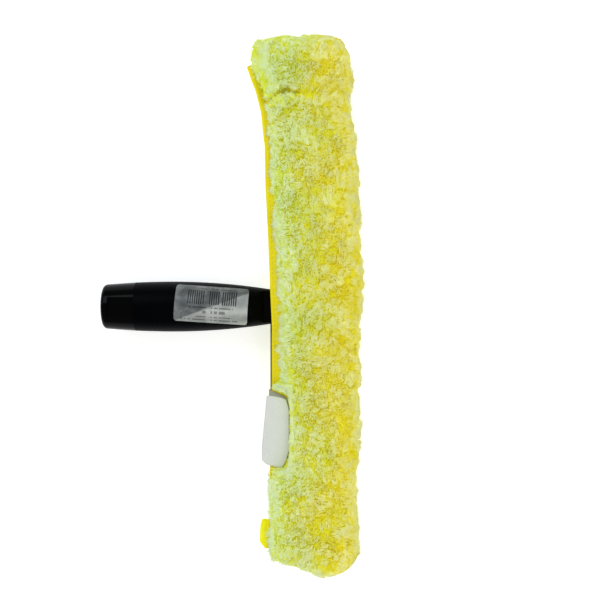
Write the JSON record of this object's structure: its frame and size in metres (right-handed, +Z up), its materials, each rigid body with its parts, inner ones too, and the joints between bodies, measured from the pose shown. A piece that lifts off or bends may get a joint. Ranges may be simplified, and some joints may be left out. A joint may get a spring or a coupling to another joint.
{
  "type": "window scrubber",
  "caption": "T-shaped window washer: barrel handle with a pole socket, crossbar inside a slit pile sleeve that is sewn shut at one end and draws off lengthwise.",
  "frame": {"origin": "middle of the footprint, on the surface that the washer lies on", "axes": "+Y along the crossbar towards the sleeve's open mouth, -X along the handle towards its end, +Z up from the surface"},
  "size_m": [0.1774, 0.3722, 0.047],
  "materials": {
    "bar_plastic": "moulded, fine grain",
    "grip_rubber": "fine pebbled, matt",
    "collar_gloss": "polished",
    "liner_plastic": "smooth",
    "screw_steel": "bright",
    "sticker_paper": "semi-gloss coated paper",
    "backing_fabric": "knitted",
    "pile_fabric": "long soft pile",
    "binding_tape": "ribbed woven tape",
    "thread": "stitched",
    "label_fabric": "fine nonwoven",
    "label_grey": "fine nonwoven",
    "tab_tape": "thick woven tape"
  },
  "bodies": {
    "tbar": {"crossbar": "bar_plastic", "end_cap_mouth": "bar_plastic", "end_cap_sewn": "bar_plastic", "neck_screws": "screw_steel", "handle_core": "bar_plastic", "grip": "grip_rubber", "end_collar": "collar_gloss", "socket_liner": "liner_plastic", "socket_pins": "screw_steel", "handle_sticker": "sticker_paper"},
    "sleeve": {"backing_cloth": "backing_fabric", "pile_main": "pile_fabric", "pile_cuff": "pile_fabric", "pile_end": "pile_fabric", "binding_near": "binding_tape", "binding_far": "binding_tape", "slit_bartack": "thread", "mouth_hem": "binding_tape", "end_seam": "backing_fabric", "tab_patch": "binding_tape"},
    "label": {"care_label": "label_fabric", "label_underlay": "label_grey"},
    "tab": {"pull_tab": "tab_tape"}
  },
  "joints": [
    {"name": "sleeve_slide", "type": "slide", "parent": "tbar", "child": "sleeve", "axis": [0, -1, 0], "range_m": [0, 0.35]},
    {"name": "label_lift", "type": "hinge", "parent": "sleeve", "child": "label", "pos_m": [0.03825, -0.0825, 0.0329], "axis": [0, 1, 0], "range_deg": [0, 80]},
    {"name": "tab_swing", "type": "hinge", "parent": "sleeve", "child": "tab", "pos_m": [0.02375, -0.1555, 0.0225], "axis": [0, 1, 0], "range_deg": [-50, 50], "stiffness_Nm_per_rad": 0.001}
  ]
}
